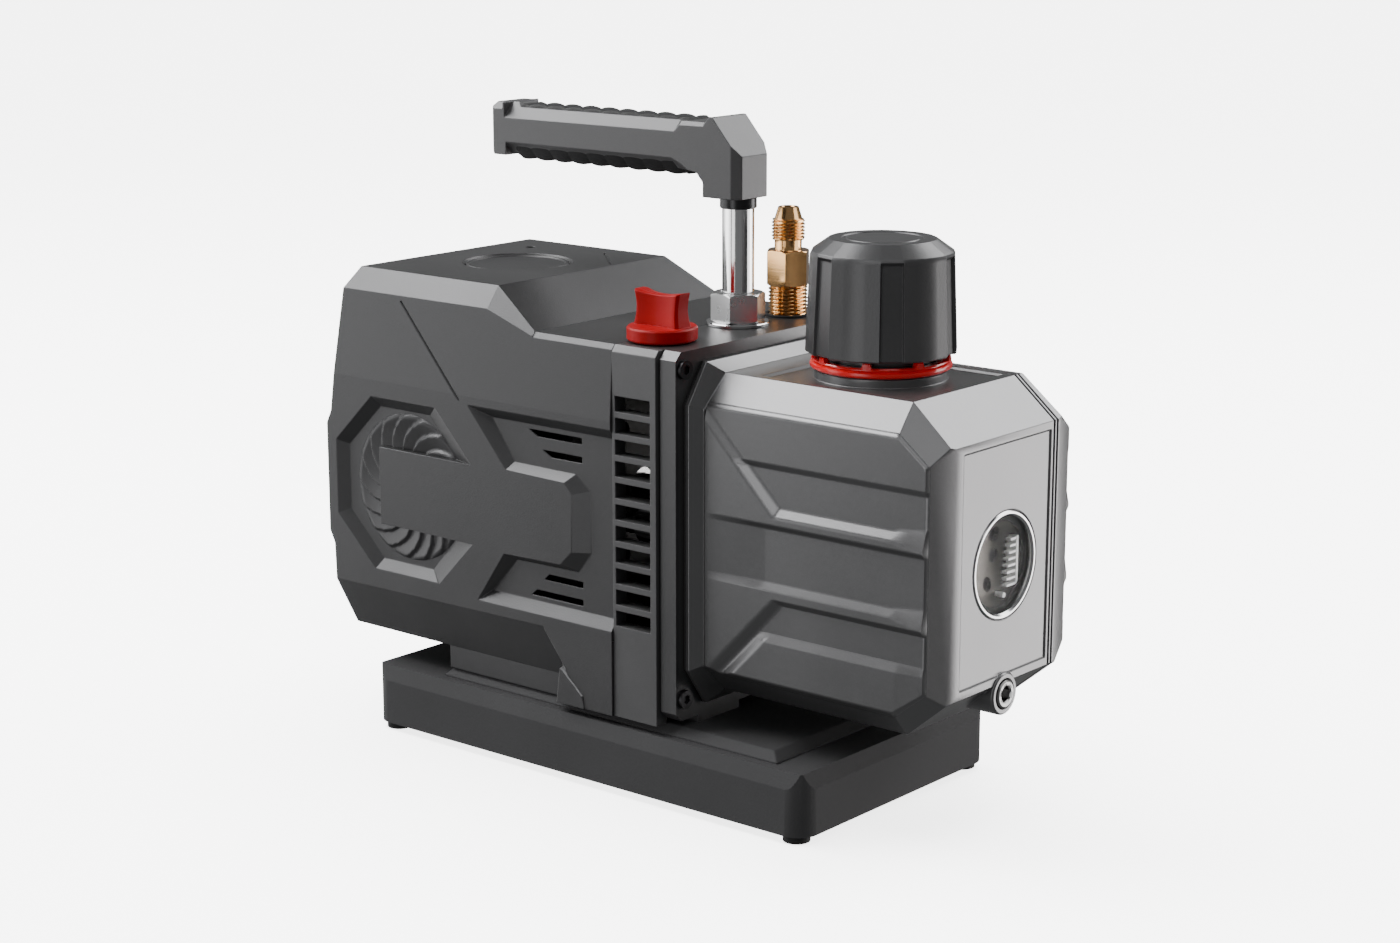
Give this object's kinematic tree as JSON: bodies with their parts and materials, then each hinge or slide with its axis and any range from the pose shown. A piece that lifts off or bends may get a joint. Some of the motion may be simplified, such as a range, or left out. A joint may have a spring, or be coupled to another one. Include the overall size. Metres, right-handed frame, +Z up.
{
  "type": "rotary vane vacuum pump",
  "caption": "Compact rotary vane vacuum pump: shrouded motor, faceted oil tank with sight glass, exhaust cap, gas ballast knob, flare inlet and carrying handle on a base tray.",
  "frame": {"origin": "middle of the whole pump's length and width, at floor level under the rubber feet", "axes": "+X towards the oil tank, +Y across, +Z up"},
  "size_m": [0.2862, 0.1164, 0.2472],
  "materials": {
    "tray_paint": "satin textured paint",
    "foot_rubber": "matt",
    "zinc_screw": "zinc plated",
    "plinth_paint": "satin textured paint",
    "sheet_steel": "plain sheet",
    "shroud_plastic": "fine moulded texture",
    "vent_plastic": "fine moulded texture",
    "disc_plastic": "satin",
    "cast_alu": "as cast",
    "lamination": "stacked sheet edges",
    "copper_wire": "varnished copper wire",
    "shaft_steel": "ground",
    "bearing_steel": "polished",
    "fan_plastic": "moulded",
    "can_plastic": "smooth",
    "turned_alu": "turned",
    "plate_alu": "satin paint on a casting",
    "black_screw": "black oxide",
    "seal_rubber": "smooth",
    "grey_iron": "machined",
    "vane_composite": "ground composite",
    "spring_steel": "drawn wire",
    "tank_paint": "metallic grey paint",
    "window_glass": "clear",
    "baffle_steel": "polished",
    "plug_steel": "turned",
    "ring_red": "glossy",
    "cap_black": "satin moulded",
    "filter_white": "sintered",
    "knob_red": "satin moulded",
    "fitting_brass": "polished",
    "post_chrome": "mirror",
    "nut_chrome": "bright",
    "collar_black": "black",
    "grip_plastic": "soft-touch moulding",
    "socket_black": "moulded",
    "pin_brass": "nickel plated",
    "rocker_red": "glossy"
  },
  "bodies": {
    "housing": {"base_tray": "tray_paint", "rubber_feet": "foot_rubber", "foot_screws": "zinc_screw", "mounting_plinth": "plinth_paint", "plinth_bolts": "zinc_screw", "motor_foot": "sheet_steel", "motor_shroud": "shroud_plastic", "vent_frame": "vent_plastic", "rear_grille": "vent_plastic", "shroud_screws": "zinc_screw", "top_disc": "disc_plastic", "motor_case": "cast_alu", "rear_bell": "cast_alu", "front_bell": "cast_alu", "stator_core": "lamination", "windings": "copper_wire", "rear_bearing": "bearing_steel", "front_bearing": "bearing_steel", "capacitor": "can_plastic", "support_casting": "plate_alu", "support_screws": "black_screw", "shaft_seal": "seal_rubber", "pump_cylinder": "grey_iron", "end_cover": "grey_iron", "pump_bolts": "black_screw", "discharge_valve": "spring_steel", "valve_stop": "zinc_screw", "tank_gasket": "seal_rubber", "oil_tank": "tank_paint", "tank_screws": "black_screw", "sight_ring": "turned_alu", "sight_glass": "window_glass", "sight_seal": "seal_rubber", "oil_baffle": "baffle_steel", "drain_seal": "seal_rubber", "exhaust_ring": "ring_red", "exhaust_filter": "filter_white", "inlet_fitting": "fitting_brass", "inlet_seal": "seal_rubber", "handle_post": "post_chrome", "handle_nut": "nut_chrome", "handle_washer": "nut_chrome", "handle_collar": "collar_black", "handle_grip": "grip_plastic", "power_inlet": "socket_black", "inlet_pins": "pin_brass", "switch_frame": "socket_black"},
    "drive_shaft": {"rotor_core": "lamination", "motor_shaft": "shaft_steel", "cooling_fan": "fan_plastic", "shaft_coupling": "turned_alu", "pump_shaft": "shaft_steel", "pump_rotor": "shaft_steel", "pump_vanes": "vane_composite", "vane_springs": "spring_steel"},
    "ballast_knob": {"ballast_knob": "knob_red", "ballast_stem": "zinc_screw"},
    "exhaust_cap": {"exhaust_cap": "cap_black"},
    "drain_plug": {"drain_plug": "plug_steel"},
    "rocker": {"rocker_switch": "rocker_red"}
  },
  "joints": [
    {"name": "shaft_spin", "type": "hinge", "parent": "housing", "child": "drive_shaft", "pos_m": [-0.0106, 0, 0.1013], "axis": [1, 0, 0], "continuous": true},
    {"name": "ballast_turn", "type": "hinge", "parent": "housing", "child": "ballast_knob", "pos_m": [0.0158, -0.0376, 0.1697], "axis": [0, 0, 1], "range_deg": [0, 90]},
    {"name": "cap_lift", "type": "slide", "parent": "housing", "child": "exhaust_cap", "axis": [0, 0, 1], "range_m": [0, 0.03]},
    {"name": "drain_pull", "type": "slide", "parent": "housing", "child": "drain_plug", "axis": [1, 0, 0], "range_m": [0, 0.02]},
    {"name": "rocker_tilt", "type": "hinge", "parent": "housing", "child": "rocker", "pos_m": [-0.0726, 0.0536, 0.1585], "axis": [1, 0, 0], "range_deg": [-10, 0]}
  ]
}
